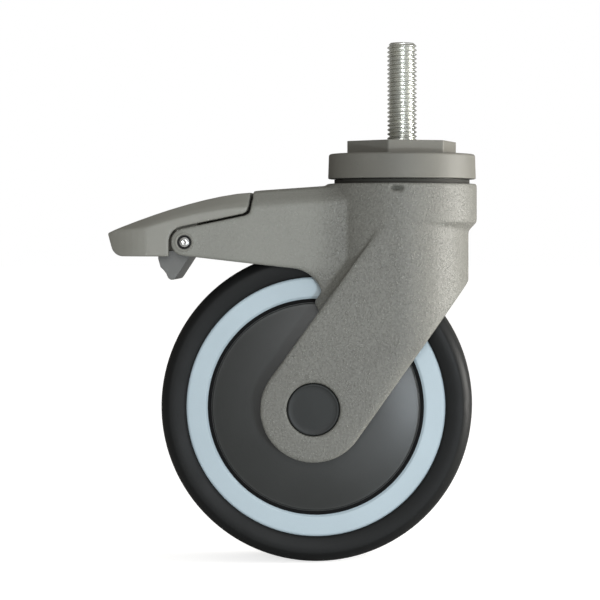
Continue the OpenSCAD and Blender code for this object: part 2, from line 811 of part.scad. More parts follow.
module brake_lever() {
    color([0.36, 0.36, 0.36]) difference() {
        union() {
            slab(lever_half) lever_outline();
            slab(tooth_w / 2) translate([-lock_d / 2 + tooth_room, arm_top - over])
                square([lock_d / 2 - tooth_room + tooth_x, tooth_top - arm_top + over]);
        }
        cross_pin(pivot_at, pivot_d / 2 + run_fit, lever_half + over);
        shoe_rivet_shanks();
    }
}

// Friction shoe: its face is the tyre's own curve once the lever is down
module brake_shoe() {
    color([0.12, 0.12, 0.12]) difference() {
        slab(lever_half) polygon([
            [shoe_x[0], belly[0][1] + 0.05], [shoe_x[1], belly[1][1] - 0.3],
            [shoe_x[1], face_at[1]], [shoe_x[0], face_at[1]]
        ]);
        slab(lever_half + over) lever_outline();
        cross_pin(face_at, face_r, wide);
        shoe_rivet_shanks();
    }
}

// Two rivets hold the shoe under the lever
rivet_inset = 4;
rivet_depth = 2.6;
rivet_low_z = belly[0][1] - rivet_depth - over;
module shoe_rivet_shanks() {
    for (x = [shoe_x[0] + rivet_inset, shoe_x[1] - rivet_inset])
        translate([x, 0, rivet_low_z]) cylinder(r = rivet_d / 2, h = far);
}

module shoe_rivets() {
    color("silver") intersection() {
        shoe_rivet_shanks();
        union() {
            slab(rivet_d) lever_outline();
            slab(rivet_d) polygon([
                [shoe_x[0], belly[0][1] - rivet_depth], [shoe_x[1], belly[1][1] - rivet_depth],
                [shoe_x[1], pivot_z + 3], [shoe_x[0], pivot_z - 5]
            ]);
        }
    }
}

// Tyre with a rounded shoulder on each side of a crowned tread
module tyre() {
    h = tyre_w / 2;
    right = [
        [rim_r, rim_w / 2 - 0.1], [rim_r + 1.2, rim_w / 2 + 0.5], [rim_r + 4, h - 0.15],
        [wheel_r - shoulder - 1.2, h], [wheel_r - shoulder, h - 0.35],
        [wheel_r - shoulder * 0.42, h - shoulder * 0.6],
        [wheel_r - 0.45, h - shoulder * 1.25], [wheel_r - 0.12, h - shoulder * 2.2], [wheel_r, 0]
    ];
    n = len(right);
    left = [for (i = [n - 2:-1:0]) [right[i][0], -right[i][1]]];
    color([0.1, 0.1, 0.1]) on_axle() rotate_extrude($fn = 180) polygon(concat(right, left));
}

// Pale rim: hub, web with ribs and the broad ring under the tyre
rib_w = 2.5;
hub_wall = 4.5;
flange_t = 3;
guard_seat = guard_in - 0.4;
module wheel_rim() {
    half = rim_w / 2;
    hub_r = bearing_od / 2 + hub_wall;
    ring_r = ring_in_d / 2;
    right = [
        [hub_r, guard_seat], [hub_r, web_t / 2],
        [ring_r - flange_t, web_t / 2], [ring_r - flange_t, guard_seat],
        [ring_r - 1.4, guard_seat], [ring_r, half - 0.7], [ring_r + 0.8, half], [rim_r - 0.8, half],
        [rim_r, half - 0.5]
    ];
    n = len(right);
    left = [for (i = [n - 1:-1:0]) [right[i][0], -right[i][1]]];
    color([0.78, 0.85, 0.88]) on_axle() difference() {
        union() {
            rotate_extrude($fn = 180) polygon(concat([[0, guard_seat]], right, left, [[0, -guard_seat]]));
            for (i = [0:ribs_n - 1])
                rotate((i + 0.5) * 360 / ribs_n) translate([hub_r - over, -rib_w / 2, over - guard_seat])
                    cube([ring_r - hub_r - over, rib_w, 2 * (guard_seat - over)]);
        }
        cylinder(r = bearing_od / 2 - 2, h = far, center = true);
        for (side = [-1, 1])
            translate([0, 0, side * (bearing_in + far / 2)])
                cylinder(r = bearing_od / 2, h = far, center = true);
    }
}

// Dished cover over one side of the wheel
module thread_guard() {
    r = guard_d / 2;
    bore = spacer_r + 0.8;
    face = guard_in + guard_t;
    color([0.24, 0.24, 0.25]) rotate_extrude($fn = 180) polygon([
        [bore, guard_in], [r - 5, guard_in], [r - 5, guard_seat], [r - 0.5, guard_seat], [r, guard_in],
        [r, face - 1.2], [r - 0.9, face - 0.5], [r - 9, face], [bore + 3.2, face], [bore, face - 0.4]
    ]);
}

module thread_guard_right() { on_axle() thread_guard(); }
module thread_guard_left() { on_axle_left() thread_guard(); }

bearing_ball_r = bearing_ball_d / 2;
bearing_pitch_r = (sleeve_d / 2 + bearing_od / 2) / 2;
bearing_wall = (bearing_od - sleeve_d) / 2 * race_share;

module wheel_inner_ring() {
    color("gainsboro") translate([0, 0, bearing_in])
        inner_ring(sleeve_d / 2, bearing_ball_r, bearing_pitch_r, bearing_w, bearing_wall);
}

module wheel_outer_ring() {
    color("gainsboro") translate([0, 0, bearing_in])
        outer_ring(bearing_od / 2, bearing_ball_r, bearing_pitch_r, bearing_w, bearing_wall);
}

module wheel_balls() {
    color("white") translate([0, 0, bearing_in])
        balls(bearing_ball_r, bearing_pitch_r, bearing_w, bearing_balls_n);
}

module wheel_cage() {
    color("goldenrod") translate([0, 0, bearing_in])
        cage(bearing_ball_r, bearing_pitch_r, bearing_w, bearing_balls_n);
}

module wheel_inner_ring_right() { on_axle() wheel_inner_ring(); }
module wheel_inner_ring_left() { on_axle_left() wheel_inner_ring(); }
module wheel_outer_ring_right() { on_axle() wheel_outer_ring(); }
module wheel_outer_ring_left() { on_axle_left() wheel_outer_ring(); }
module wheel_balls_right() { on_axle() wheel_balls(); }
module wheel_balls_left() { on_axle_left() wheel_balls(); }
module wheel_cage_right() { on_axle() wheel_cage(); }
module wheel_cage_left() { on_axle_left() wheel_cage(); }

// Tube along the axle, from z = low up to z = high
module tube(in_r, out_r, low, high) {
    difference() {
        translate([0, 0, low]) cylinder(r = out_r, h = high - low);
        translate([0, 0, low - over]) cylinder(r = in_r, h = high - low + 2 * over);
    }
}

module axle_sleeve() {
    color("silver") on_axle() tube(axle_d / 2, sleeve_d / 2, -leg_in, leg_in);
}

module bearing_spacer() {
    color("silver") on_axle() tube(sleeve_d / 2, spacer_r, -bearing_in, bearing_in);
}

module side_spacer_right() {
    color("silver") on_axle() tube(sleeve_d / 2, spacer_r, bearing_out, leg_in);
}

module side_spacer_left() {
    color("silver") on_axle_left() tube(sleeve_d / 2, spacer_r, bearing_out, leg_in);
}

module axle_bolt() {
    color("silver") on_axle() {
        translate([0, 0, -pocket_floor - axle_head_h])
            cylinder(r = axle_d / 2, h = 2 * pocket_floor + axle_head_h + over);
        translate([0, 0, pocket_floor]) cylinder(r = axle_flats / sqrt(3), h = axle_head_h, $fn = 6);
    }
}

module axle_nut() {
    color("silver") on_axle_left() translate([0, 0, pocket_floor]) difference() {
        cylinder(r = axle_flats / sqrt(3), h = axle_head_h, $fn = 6);
        translate([0, 0, -over]) cylinder(r = axle_d / 2, h = axle_head_h + 2 * over);
    }
}

// Round cap pushed into the pocket over the axle's end, with a low rim round its face
module hub_cap() {
    r = hub_cap_d / 2;
    back = leg_out - hub_cap_t;
    color([0.28, 0.28, 0.28]) rotate_extrude() polygon([
        [0, back], [r - 0.4, back], [r, back + 0.4], [r, leg_out - 0.35], [r - 0.35, leg_out],
        [r - 1, leg_out], [r - 1.3, leg_out - 0.15], [0, leg_out - 0.05]
    ]);
}

module hub_cap_right() { on_axle() hub_cap(); }
module hub_cap_left() { on_axle_left() hub_cap(); }

threaded_stem();
top_cap();
swivel_inner_ring();
lock_ring();
kingpin_washer();
kingpin_nut();
swivel_balls();
swivel_cage();
fork();
dust_seal();
swivel_outer_ring();
axle_bolt();
axle_nut();
axle_sleeve();
bearing_spacer();
side_spacer_right();
side_spacer_left();
wheel_inner_ring_right();
wheel_inner_ring_left();
hub_cap_right();
hub_cap_left();
pedal_pin();
lever_pin();
return_spring();
wheel_rim();
tyre();
thread_guard_right();
thread_guard_left();
wheel_outer_ring_right();
wheel_outer_ring_left();
wheel_balls_right();
wheel_balls_left();
wheel_cage_right();
wheel_cage_left();
pedal();
brake_lever();
brake_shoe();
shoe_rivets();
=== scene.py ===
"""Braked swivel castor with a threaded stem, standing on a plain pale floor."""
import math

import bmesh
import bpy
from mathutils import Matrix, Vector


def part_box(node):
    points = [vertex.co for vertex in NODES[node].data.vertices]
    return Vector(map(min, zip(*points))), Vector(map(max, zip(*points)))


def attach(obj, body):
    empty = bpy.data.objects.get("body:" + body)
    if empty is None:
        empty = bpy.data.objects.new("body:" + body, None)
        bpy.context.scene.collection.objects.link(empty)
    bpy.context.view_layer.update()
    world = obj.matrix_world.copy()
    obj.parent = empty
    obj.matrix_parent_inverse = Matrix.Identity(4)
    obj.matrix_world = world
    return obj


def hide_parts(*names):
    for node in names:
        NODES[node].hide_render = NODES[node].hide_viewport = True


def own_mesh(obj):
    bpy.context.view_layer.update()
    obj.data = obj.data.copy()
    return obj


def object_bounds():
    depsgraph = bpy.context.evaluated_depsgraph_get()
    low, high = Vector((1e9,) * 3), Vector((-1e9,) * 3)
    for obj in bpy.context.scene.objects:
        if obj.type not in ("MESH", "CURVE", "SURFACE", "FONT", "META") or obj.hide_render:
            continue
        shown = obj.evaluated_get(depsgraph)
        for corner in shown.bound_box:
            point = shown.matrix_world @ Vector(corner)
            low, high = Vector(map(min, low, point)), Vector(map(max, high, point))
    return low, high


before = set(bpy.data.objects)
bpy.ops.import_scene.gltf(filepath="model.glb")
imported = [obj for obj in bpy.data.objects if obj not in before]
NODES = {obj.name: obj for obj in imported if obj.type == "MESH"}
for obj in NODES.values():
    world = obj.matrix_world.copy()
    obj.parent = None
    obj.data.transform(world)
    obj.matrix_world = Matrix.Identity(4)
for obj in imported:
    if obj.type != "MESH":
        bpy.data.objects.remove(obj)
CAD_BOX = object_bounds()
SCENE = bpy.context.scene
MM = 0.001
SIDES = (("right", 1), ("left", -1))

# The bodies that pieces ride on
MOUNT = "mount"
FORK = "fork_body"
WHEEL = "wheel"
PEDAL = "pedal_body"
LEVER = "lever_body"

# A Mix node's sockets for colours, which share their names with those for numbers
MIX_FACTOR, MIX_FIRST, MIX_SECOND, MIX_RESULT = 0, 6, 7, 2


# Node trees

class Wire:
    """A node's output that takes part in sums, and adds their Math nodes as it does."""

    def __init__(self, nodes, socket):
        self.nodes = nodes
        self.socket = socket

    def __add__(self, other):
        return self.nodes.maths("ADD", self, other)

    def __radd__(self, other):
        return self.nodes.maths("ADD", other, self)

    def __sub__(self, other):
        return self.nodes.maths("SUBTRACT", self, other)

    def __rsub__(self, other):
        return self.nodes.maths("SUBTRACT", other, self)

    def __mul__(self, other):
        return self.nodes.maths("MULTIPLY", self, other)

    def __rmul__(self, other):
        return self.nodes.maths("MULTIPLY", other, self)

    def __truediv__(self, other):
        return self.nodes.maths("DIVIDE", self, other)

    def clamp(self):
        return self.nodes.node("ShaderNodeClamp", {}, [self])


class Nodes:
    """A node tree, with short ways to its nodes."""

    def __init__(self, tree):
        self.tree = tree

    def feed(self, value, socket):
        """Links a wire to a socket, or sets the socket to a plain value."""
        if isinstance(value, Wire):
            self.tree.links.new(value.socket, socket)
        else:
            socket.default_value = value

    def node(self, kind, settings, inputs, output=0):
        """Adds a node: its settings first, then the values or links of its sockets."""
        made = self.tree.nodes.new(kind)
        for key, value in settings.items():
            setattr(made, key, value)
        pairs = inputs.items() if isinstance(inputs, dict) else enumerate(inputs)
        for key, value in pairs:
            self.feed(value, made.inputs[key])
        return Wire(self, made.outputs[output])

    def maths(self, operation, *values):
        return self.node("ShaderNodeMath", {"operation": operation}, values)

    def between(self, value, low, high, step="SMOOTHSTEP"):
        """0 where a value is under low and 1 where it is over high, with a ramp between."""
        inputs = [value, low, high, 0.0, 1.0]
        return self.node("ShaderNodeMapRange", {"interpolation_type": step}, inputs)

    def split(self, vector):
        """The three numbers of a vector."""
        outputs = self.node("ShaderNodeSeparateXYZ", {}, [vector]).socket.node.outputs
        return [Wire(self, socket) for socket in outputs]

    def vector(self, x, y, z):
        return self.node("ShaderNodeCombineXYZ", {}, [x, y, z])


class ShaderTree(Nodes):
    """The node tree of a material or of the world. Its patterns follow one set of coordinates."""

    def __init__(self, tree, coordinates):
        super().__init__(tree)
        self.place = self.node("ShaderNodeTexCoord", {}, [], coordinates)

    def noise(self, scale, detail=2.0):
        """Soft noise between 0 and 1, with its scale in ripples a metre."""
        inputs = {"Vector": self.place, "Scale": scale, "Detail": detail}
        return self.node("ShaderNodeTexNoise", {}, inputs, "Fac")

    def length(self, x, y, z):
        """The length of the vector with these three numbers."""
        inputs = [self.vector(x, y, z)]
        return self.node("ShaderNodeVectorMath", {"operation": "LENGTH"}, inputs, "Value")

    def mix(self, factor, first, second):
        """One colour turning into another."""
        inputs = {MIX_FACTOR: factor, MIX_FIRST: first, MIX_SECOND: second}
        return self.node("ShaderNodeMix", {"data_type": "RGBA"}, inputs, MIX_RESULT)

    def bump(self, height, distance):
        inputs = {"Strength": 1.0, "Distance": distance, "Height": height}
        return self.node("ShaderNodeBump", {}, inputs, "Normal")

    def seen(self):
        """1 for a ray from the camera, straight or through something clear, and 0 for others."""
        path = self.node("ShaderNodeLightPath", {}, []).socket.node.outputs
        straight = Wire(self, path["Is Camera Ray"])
        return (straight + Wire(self, path["Is Transmission Ray"])).clamp()


class Paint(ShaderTree):
    """A material."""

    def __init__(self, name):
        self.material = bpy.data.materials.new(name)
        self.material.use_nodes = True
        super().__init__(self.material.node_tree, "Object")
        self.shader = self.tree.nodes["Principled BSDF"]

    def set(self, **values):
        """Sets or links the shader's own sockets, and gives the material."""
        for key, value in values.items():
            self.feed(value, self.shader.inputs[key.replace("_", " ")])
        return self.material


class GeoTree(Nodes):
    """A geometry node tree with named inputs. What it makes is realised and gets a material."""

    def __init__(self, name, *inputs):
        super().__init__(bpy.data.node_groups.new(name, "GeometryNodeTree"))
        face = self.tree.interface
        face.new_socket("Geometry", in_out="OUTPUT", socket_type="NodeSocketGeometry")
        for key in inputs:
            face.new_socket(key, in_out="INPUT", socket_type="NodeSocketFloat")
        face.new_socket("Material", in_out="INPUT", socket_type="NodeSocketMaterial")
        outputs = self.tree.nodes.new("NodeGroupInput").outputs
        self.given = [Wire(self, outputs[key]) for key in inputs]
        self.coat = Wire(self, outputs["Material"])

    def close(self, geometry):
        """Smooths, realises and coats a geometry, and makes it what the tree gives."""
        smooth = self.node("GeometryNodeSetShadeSmooth", {}, {"Geometry": geometry})
        whole = self.node("GeometryNodeRealizeInstances", {}, {"Geometry": smooth})
        inputs = {"Geometry": whole, "Material": self.coat}
        coated = self.node("GeometryNodeSetMaterial", {}, inputs)
        self.feed(coated, self.tree.nodes.new("NodeGroupOutput").inputs["Geometry"])
        return self.tree


# Meshes

def placed(name, data):
    """A new object in the scene that holds a mesh, a lamp or a camera."""
    made = bpy.data.objects.new(name, data)
    SCENE.collection.objects.link(made)
    return made


def new_piece(name, mesh, body, slot, material, *nodes):
    """Puts a finished mesh in the scene, in place of CAD nodes, on a body."""
    piece = placed(name, mesh)
    mesh.materials.clear()
    mesh.materials.append(material)
    if nodes:
        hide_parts(*nodes)
    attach(piece, body)
    return piece


def baked(holder):
    """The mesh that an object shows with its modifiers applied. The object is removed."""
    bpy.context.view_layer.update()
    shown = holder.evaluated_get(bpy.context.evaluated_depsgraph_get())
    made = bpy.data.meshes.new_from_object(shown)
    bpy.data.objects.remove(holder)
    return made


def finished(mesh, *modifiers):
    """A mesh with modifiers applied to it: each is a kind and its settings."""
    holder = placed("holder", mesh)
    for kind, settings in modifiers:
        step = holder.modifiers.new(kind, kind)
        for key, value in settings.items():
            setattr(step, key, value)
    return baked(holder)


def from_tree(tree, at, **values):
    """The mesh that a geometry tree makes from its named inputs, moved to its place."""
    holder = placed("holder", bpy.data.meshes.new("holder"))
    step = holder.modifiers.new("tree", "NODES")
    step.node_group = tree
    for item in tree.interface.items_tree:
        if item.name in values:
            step[item.identifier] = values[item.name]
    made = baked(holder)
    made.transform(Matrix.Translation(at))
    return made


def to_mesh(shape, name):
    """A mesh from a bmesh, which is freed."""
    mesh = bpy.data.meshes.new(name)
    shape.to_mesh(mesh)
    shape.free()
    return mesh


def merged_copy(node):
    """A CAD node's mesh with its loose triangles joined up."""
    shape = bmesh.new()
    shape.from_mesh(NODES[node].data)
    bmesh.ops.remove_doubles(shape, verts=shape.verts, dist=0.001 * MM)
    return to_mesh(shape, node)


RELAX_ROUNDS = 9


def moulding(node, grain, keep=1.0):
    """A CAD node with a moulding's rounded edges: remeshed on a fine grid and relaxed."""
    steps = [
        ("REMESH", {"mode": "VOXEL", "voxel_size": grain}),
        ("SMOOTH", {"factor": 0.5, "iterations": RELAX_ROUNDS}),
    ]
    if keep < 1:
        steps.append(("DECIMATE", {"ratio": keep}))
    mesh = finished(merged_copy(node), *steps)
    mesh.shade_smooth()
    return mesh


SHARP_ANGLE = math.radians(28)


def bevelled(mesh, width, segments=2):
    """A mesh with its sharp edges broken by a small round."""
    mesh.shade_smooth()
    bevel = {"width": width, "segments": segments, "limit_method": "ANGLE",
             "angle_limit": SHARP_ANGLE}
    return finished(mesh, ("BEVEL", bevel), ("WEIGHTED_NORMAL", {"keep_sharp": True}))


def eased(node, width, segments=2):
    """A CAD node with its sharp edges broken."""
    return bevelled(merged_copy(node), width, segments)


def turned(name, profile, centre, side, steps=240):
    """A closed turning about a cross axis, on one side or through both.

    Its profile holds radii and distances out from the middle plane.
    """
    shape = bmesh.new()
    rings = []
    for k in range(steps):
        turn = 2 * math.pi * k / steps
        across, up = math.cos(turn), math.sin(turn)
        rings.append([
            shape.verts.new((centre.x + r * across, -side * out, centre.z + r * up))
            for r, out in profile])
    count = len(profile)
    for k, ring in enumerate(rings):
        after = rings[(k + 1) % steps]
        for i in range(count):
            j = (i + 1) % count
            shape.faces.new((ring[i], ring[j], after[j], after[i]))
    bmesh.ops.remove_doubles(shape, verts=shape.verts, dist=0.001 * MM)
    bmesh.ops.recalc_face_normals(shape, faces=shape.faces)
    return bevelled(to_mesh(shape, name), 0.15 * MM)


def section(radius, out, *points):
    """Points of a profile, in mm from a radius and from a distance out."""
    return [(radius + r * MM, out + o * MM) for r, o in points]


def middle(node):
    """The middle of a CAD node's box."""
    return (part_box(node)[0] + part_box(node)[1]) / 2


def round_radius(node):
    """The radius of a round CAD node, from the length of its box."""
    return (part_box(node)[1].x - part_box(node)[0].x) / 2


# Places on the castor

AXLE = middle("axle_sleeve")
PIN = middle("pedal_pin")
GUARD_BORE = round_radius("side_spacer_right") + 0.8 * MM
GUARD_RADIUS = round_radius("thread_guard_right")
# The brake arm's smooth part ends between these two x, and lies above this z
ARM_END = -37 * MM
ARM_ROOT = -22 * MM
ARM_LOW = -56 * MM
# The gate mark that the mould leaves at the front of the head, a dimple that gets painted shade,
# and its half sizes
GATE = Vector((-1.0 * MM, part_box("fork")[0].y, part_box("dust_seal")[0].z - 2.2 * MM))
GATE_REACH = (2.9 * MM, 2.5 * MM, 1.1 * MM)


# Finishes

def colour(red, green, blue):
    """A colour written in the 0 to 255 steps of a screen."""
    def linear(step):
        c = step / 255
        return c / 12.92 if c <= 0.04045 else ((c + 0.055) / 1.055) ** 2.4
    return (linear(red), linear(green), linear(blue), 1.0)


def spark_plastic(name, low, high, depth, roughness):
    """Nylon with a spark-eroded texture that fades out along the paler arm, and painted shade in
    the dimple of the gate mark.
    """
    p = Paint(name)
    grain = p.noise(1150.0)
    speck = p.between(p.noise(1700.0, 1.0), 0.56, 0.70)
    drift = p.noise(45.0, 3.0)
    x, y, z = p.split(p.place)
    arm = (1 - p.between(x, ARM_END, ARM_ROOT)) * p.between(z, ARM_LOW, ARM_LOW + 8 * MM)
    body = 1 - arm
    rough = 0.35 + 0.65 * body
    tone = (0.70 - 0.52 * body + (grain - 0.5) * 0.9 * rough
            + (drift - 0.5) * 0.35 + speck * 0.42 * rough)
    off_gate = p.length(*[(a - at) / reach for a, at, reach in zip((x, y, z), GATE, GATE_REACH)])
    # Painted shade: the colour is darkened to a dark grey inside the gate's dimple
    gate_dimple_shade = 1 - p.between(off_gate, 0.6, 1.1)
    return p.set(
        Base_Color=p.mix(gate_dimple_shade * 0.8, p.mix(tone.clamp(), low, high), colour(62, 63, 57)),
        Roughness=(roughness + (drift - 0.5) * 0.10 - speck * rough * 0.12).clamp(),
        Normal=p.bump((grain + speck * 0.8) * rough, depth),
        Specular_IOR_Level=0.4,
    )


def satin_plastic(name, low, high, roughness, gloss=0.4):
    """Smooth moulded nylon, with slow patches of tone and a very fine skin."""
    p = Paint(name)
    drift = p.noise(60.0, 3.0)
    skin = p.noise(1900.0)
    return p.set(
        Base_Color=p.mix((drift * 0.8 + skin * 0.2).clamp(), low, high),
        Roughness=(roughness + (drift - 0.5) * 0.12).clamp(),
        Normal=p.bump(skin, 0.02 * MM),
        Specular_IOR_Level=gloss,
    )


def turned_plastic(name, low, high, roughness, gloss=0.4, groove=1.0):
    """A round moulding with faint rings about the axle, painted near black past the groove's
    radius as painted shade in the groove.
    """
    p = Paint(name)
    x, _, z = p.split(p.place)
    radius = p.length(x - AXLE.x, 0.0, z - AXLE.z)
    inputs = {"W": radius, "Scale": 2600.0}
    rings = p.node("ShaderNodeTexNoise", {"noise_dimensions": "1D"}, inputs, "Fac")
    drift = p.noise(50.0, 3.0)
    skin = p.noise(1700.0)
    # Painted shade: past the groove's radius the colour goes near black, where the groove between
    # guard and rim lies in shade
    shade = p.between(radius, groove, groove + 0.05 * MM)
    tone = p.mix((drift * 0.6 + skin * 0.25 + rings * 0.15).clamp(), low, high)
    return p.set(
        Base_Color=p.mix(shade, tone, colour(7, 7, 8)),
        Roughness=(roughness + shade + (drift - 0.5) * 0.10 + (rings - 0.5) * 0.06).clamp(),
        Normal=p.bump(rings * 0.4 + skin * 0.6, 0.02 * MM),
        Specular_IOR_Level=gloss,
    )


def rubber(name, low, high, roughness, gloss=0.2):
    """Moulded rubber, with a bloom that is paler in patches."""
    p = Paint(name)
    bloom = p.noise(70.0, 4.0)
    skin = p.noise(1300.0, 3.0)
    return p.set(
        Base_Color=p.mix((bloom * 0.7 + skin * 0.3).clamp(), low, high),
        Roughness=(roughness + (bloom - 0.5) * 0.16).clamp(),
        Normal=p.bump(skin, 0.03 * MM),
        Specular_IOR_Level=gloss,
    )


def steel(name, low, high, roughness, spots=260.0):
    """Plated or ground metal, with its tone and its gloss changing from spot to spot."""
    p = Paint(name)
    cloud = p.noise(spots, 3.0)
    scratch = p.noise(2800.0, 3.0)
    return p.set(
        Base_Color=p.mix((cloud * 0.8 + scratch * 0.2).clamp(), low, high),
        Metallic=1.0,
        Roughness=(roughness + (cloud - 0.5) * 0.16 + (scratch - 0.5) * 0.08).clamp(),
        Normal=p.bump(scratch, 0.01 * MM),
    )


FORK_GREY = spark_plastic(
    "fork_plastic", colour(95, 94, 89), colour(131, 131, 124), 0.22 * MM, 0.55)
PEDAL_GREY = satin_plastic(
    "pedal_plastic", colour(118, 117, 110), colour(134, 133, 126), 0.46)
CAP_GREY = satin_plastic(
    "cap_plastic", colour(94, 93, 87), colour(108, 106, 100), 0.55, 0.25)
LEVER_GREY = satin_plastic(
    "lever_plastic", colour(88, 88, 86), colour(104, 104, 102), 0.45)
# The guard's disc is painted near black past its own radius: painted shade in the rim's groove
DISC_GREY = turned_plastic(
    "disc_plastic", colour(38, 39, 38), colour(48, 49, 48), 0.34, 0.3, GUARD_RADIUS)
HUB_GREY = turned_plastic(
    "hub_cap_plastic", colour(31, 32, 32), colour(38, 40, 39), 0.45, 0.2)
RIM_BLUE = turned_plastic(
    "rim_plastic", colour(156, 170, 177), colour(172, 186, 193), 0.45)
TYRE_BLACK = rubber("tyre_rubber", colour(15, 15, 15), colour(24, 25, 25), 0.50, 0.15)
# A near black finish that is no real seal: it colours the rings of painted shade in the rivet's
# gaps
GAP_SHADE_BLACK = rubber("seal_rubber", colour(20, 20, 20), colour(32, 32, 32), 0.7)
SEAL_GREY = rubber("dust_seal_rubber", colour(40, 39, 36), colour(56, 55, 51), 0.7)
SHOE_BLACK = rubber("shoe_rubber", colour(44, 43, 42), colour(62, 60, 58), 0.8)
ZINC = steel("zinc_plate", colour(196, 200, 200), colour(232, 232, 222), 0.24)
BRIGHT = steel("polished_steel", colour(214, 216, 218), colour(238, 238, 238), 0.12)
RIVET_STEEL = steel("rivet_steel", colour(176, 178, 178), colour(214, 214, 212), 0.20, 900.0)
SPRING_STEEL = steel("spring_wire", colour(150, 150, 152), colour(190, 190, 190), 0.30)
DARK_STEEL = steel("sintered_steel", colour(92, 92, 94), colour(120, 120, 122), 0.45)
BRASS = steel("pressed_brass", colour(190, 150, 80), colour(222, 188, 112), 0.28)

NODE_FINISHES = (
    (ZINC, "kingpin_washer", "kingpin_nut", "axle_bolt", "axle_nut", "axle_sleeve",
     "bearing_spacer", "side_spacer_right", "side_spacer_left", "lever_pin", "shoe_rivets"),
    (BRIGHT, "swivel_inner_ring", "swivel_outer_ring", "swivel_balls",
     "wheel_inner_ring_right", "wheel_inner_ring_left", "wheel_outer_ring_right",
     "wheel_outer_ring_left", "wheel_balls_right", "wheel_balls_left"),
    (BRASS, "swivel_cage", "wheel_cage_right", "wheel_cage_left"),
    (DARK_STEEL, "lock_ring"),
    (SEAL_GREY, "dust_seal"),
    (SHOE_BLACK, "brake_shoe"),
)


def finish_nodes():
    """Gives each CAD node that stays in view its own finish."""
    for material, *names in NODE_FINISHES:
        for name in names:
            slots = NODES[name].data.materials
            slots.clear()
            slots.append(material)


# Pieces

def make_mouldings():
    """The plastic mouldings, with the rounded edges that they have from the mould."""
    fork = moulding("fork", 0.6 * MM, 0.6)
    new_piece("fork_moulding", fork, FORK, "fork_plastic", FORK_GREY, "fork")
    pedal = moulding("pedal", 0.42 * MM)
    new_piece("pedal_moulding", pedal, PEDAL, "pedal_plastic", PEDAL_GREY, "pedal")
    cap = eased("top_cap", 0.5 * MM, 3)
    new_piece("cap_moulding", cap, MOUNT, "cap_plastic", CAP_GREY, "top_cap")
    lever = eased("brake_lever", 0.4 * MM, 3)
    new_piece("lever_moulding", lever, LEVER, "lever_plastic", LEVER_GREY, "brake_lever")


GUARD_DOME = 1.6 * MM
GUARD_FLAT_SHARE = 0.18
GUARD_FALL = 2.4
GUARD_STEPS = 20


def guard_profile(radius, bore, face, foot):
    """Section of a thread guard: a soft dome, a narrow lip and a skirt in the rim's groove, which
    is painted near black there as the groove's shade.
    """
    flat = bore + GUARD_FLAT_SHARE * (radius - bore)
    edge = radius - 0.9 * MM
    rim = face - GUARD_DOME
    dome = []
    for i in range(GUARD_STEPS + 1):
        s = i / GUARD_STEPS
        dome.append((flat + s * (edge - flat), face - GUARD_DOME * s ** GUARD_FALL))
    return (
        section(bore, foot, (0, 0)) + section(bore, face, (0, -0.3), (0.4, 0)) + dome
        + section(edge, rim, (0.3, 0.05)) + section(radius, rim, (-0.15, -0.35), (0, -0.7))
        + section(radius, foot, (0, 0.1), (1.5, 0.1), (1.5, -0.12), (-0.4, -0.12), (-0.4, 0)))


def make_wheel():
    """Tyre, rim, thread guards and hub caps with eased edges."""
    tyre = eased("tyre", 0.3 * MM, 3)
    new_piece("tyre_ring", tyre, WHEEL, "tyre_rubber", TYRE_BLACK, "tyre")
    rim = eased("wheel_rim", 0.3 * MM)
    new_piece("rim_moulding", rim, WHEEL, "rim_plastic", RIM_BLUE, "wheel_rim")
    for name, side in SIDES:
        guard = "thread_guard_" + name
        foot, face = sorted(abs(corner.y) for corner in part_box(guard))
        profile = guard_profile(round_radius(guard), GUARD_BORE, face, foot + 0.4 * MM)
        disc = turned(guard, profile, AXLE, side)
        new_piece("guard_disc_" + name, disc, WHEEL, "dark_plastic", DISC_GREY, guard)
        cap = "hub_cap_" + name
        plug = eased(cap, 0.15 * MM)
        new_piece("hub_plug_" + name, plug, FORK, "dark_plastic", HUB_GREY, cap)


STEM_RADIUS = 6.0 * MM
STEM_CHAMFER = 1.3 * MM
THREAD_PITCH = 1.75 * MM
THREAD_DEPTH = 0.95 * MM
THREAD_RUNOUT = 2.2 * MM
CORE_TOP = -0.3 * MM
ROD_FOOT = -0.5 * MM


def rod_tree():
    """A closed rod whose side is drawn into a helical thread."""
    geo = GeoTree("threaded_rod", "Radius", "Length", "Pitch", "Depth", "Tip", "Runout")
    radius, length, pitch, depth, tip, runout = geo.given
    size = {"Vertices": 72, "Side Segments": 400, "Radius": radius, "Depth": length}
    rod = geo.node("GeometryNodeMeshCylinder", {"fill_type": "NGON"}, size, "Mesh")
    x, y, z = geo.split(geo.node("GeometryNodeInputPosition", {}, {}))
    up = z + length * 0.5
    turn = geo.maths("ARCTAN2", y, x) / (2 * math.pi)
    phase = geo.maths("FRACT", up / pitch - turn)
    ridge = geo.maths("ABSOLUTE", phase * 2.0 - 1.0)
    flank = geo.between(ridge, 0.12, 0.86, "LINEAR")
    grooved = radius - flank * geo.between(up, runout * 0.4, runout) * depth
    tapered = (radius - tip) + (length - up)
    scale = geo.maths("MINIMUM", grooved, tapered) / radius
    inputs = {"Geometry": rod, "Position": geo.vector(x * scale, y * scale, up)}
    return geo.close(geo.node("GeometryNodeSetPosition", {}, inputs))


